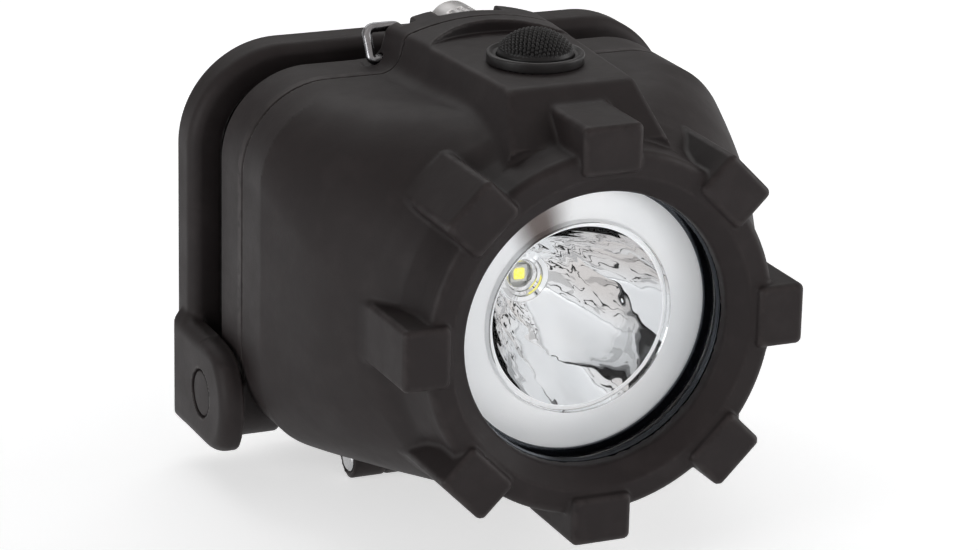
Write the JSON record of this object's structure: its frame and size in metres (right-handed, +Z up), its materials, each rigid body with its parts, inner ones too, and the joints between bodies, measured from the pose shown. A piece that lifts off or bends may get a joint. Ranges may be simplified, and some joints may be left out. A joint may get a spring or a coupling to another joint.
{
  "type": "head light",
  "caption": "Right-angle firefighter's head light: lugged round bezel, battery case hinged below, tilting bracket plate with slots for head-strap webbing.",
  "frame": {"origin": "centre of the bracket plate's flat back face, on the lamp's plane of symmetry", "axes": "+Z up, +X across the lamp, the beam leaves along -Y"},
  "size_m": [0.0714, 0.0595, 0.0629],
  "materials": {
    "black_polymer": "fine matte texture, rubberised nylon",
    "ring_polymer": "satin",
    "button_rubber": "matte, pimpled",
    "seal_rubber": "satin",
    "tray_polymer": "fine matte",
    "cell_jacket": "gloss sleeve",
    "steel": "bright",
    "spring_steel": "bright drawn wire",
    "dark_wire": "dark oxide",
    "plated_contact": "plated",
    "insert_brass": "machined",
    "lens_clear": "polished",
    "mirror_chrome": "vacuum metallised",
    "led_ceramic": "ceramic with a yellow emitter",
    "board_white": "white solder mask",
    "board_green": "solder mask",
    "component_black": "moulded",
    "heat_sink_aluminium": "machined",
    "lead_red": "wire sleeve",
    "lead_black": "wire sleeve"
  },
  "bodies": {
    "bracket": {"bracket_plate": "black_polymer", "tilt_pins": "black_polymer"},
    "rear_case": {"rear_cover": "black_polymer", "friction_washers": "steel", "case_gasket": "seal_rubber", "hinge_pin": "steel", "screw_seal": "seal_rubber", "battery_tray": "tray_polymer", "battery_cells": "cell_jacket", "contact_springs": "spring_steel", "contact_plates": "plated_contact"},
    "latch": {"latch_screw": "steel", "screw_clip": "spring_steel"},
    "lanyard": {"lanyard_loop": "dark_wire"},
    "button": {"push_button": "button_rubber"},
    "front_head": {"front_housing": "black_polymer", "lens_seal": "seal_rubber", "lens": "lens_clear", "reflector": "mirror_chrome", "reflector_retainer": "tray_polymer", "led_emitter": "led_ceramic", "led_board": "board_white", "led_board_screws": "steel", "heat_sink": "heat_sink_aluminium", "driver_board": "board_green", "driver_components": "component_black", "driver_screws": "steel", "board_spacers": "plated_contact", "led_leads": "lead_red", "switch_leads": "lead_black", "switch_board": "board_green", "tactile_switch": "component_black", "switch_screws": "steel", "button_spring": "spring_steel", "switch_ring": "ring_polymer", "thread_insert": "insert_brass", "inner_cover": "tray_polymer", "inner_cover_screws": "steel", "leaf_contacts": "plated_contact"}
  },
  "joints": [
    {"name": "tilt", "type": "hinge", "parent": "bracket", "child": "rear_case", "pos_m": [0, -0.0133, -0.0184], "axis": [1, 0, 0], "range_deg": [0, 60]},
    {"name": "case_open", "type": "hinge", "parent": "rear_case", "child": "front_head", "pos_m": [0, -0.0191, -0.0277], "axis": [1, 0, 0], "range_deg": [0, 100]},
    {"name": "latch_turn", "type": "hinge", "parent": "rear_case", "child": "latch", "pos_m": [0, -0.0147, 0.0266], "axis": [0, 1, 0], "continuous": true},
    {"name": "loop_swing", "type": "hinge", "parent": "rear_case", "child": "lanyard", "pos_m": [-0.0105, -0.0145, 0.0243], "axis": [-1, 0, 0], "range_deg": [0, 45]},
    {"name": "button_press", "type": "slide", "parent": "front_head", "child": "button", "axis": [0, 0, -1], "range_m": [0, 0.001], "stiffness_N_per_m": 600, "deforming": ["button_spring"]}
  ]
}
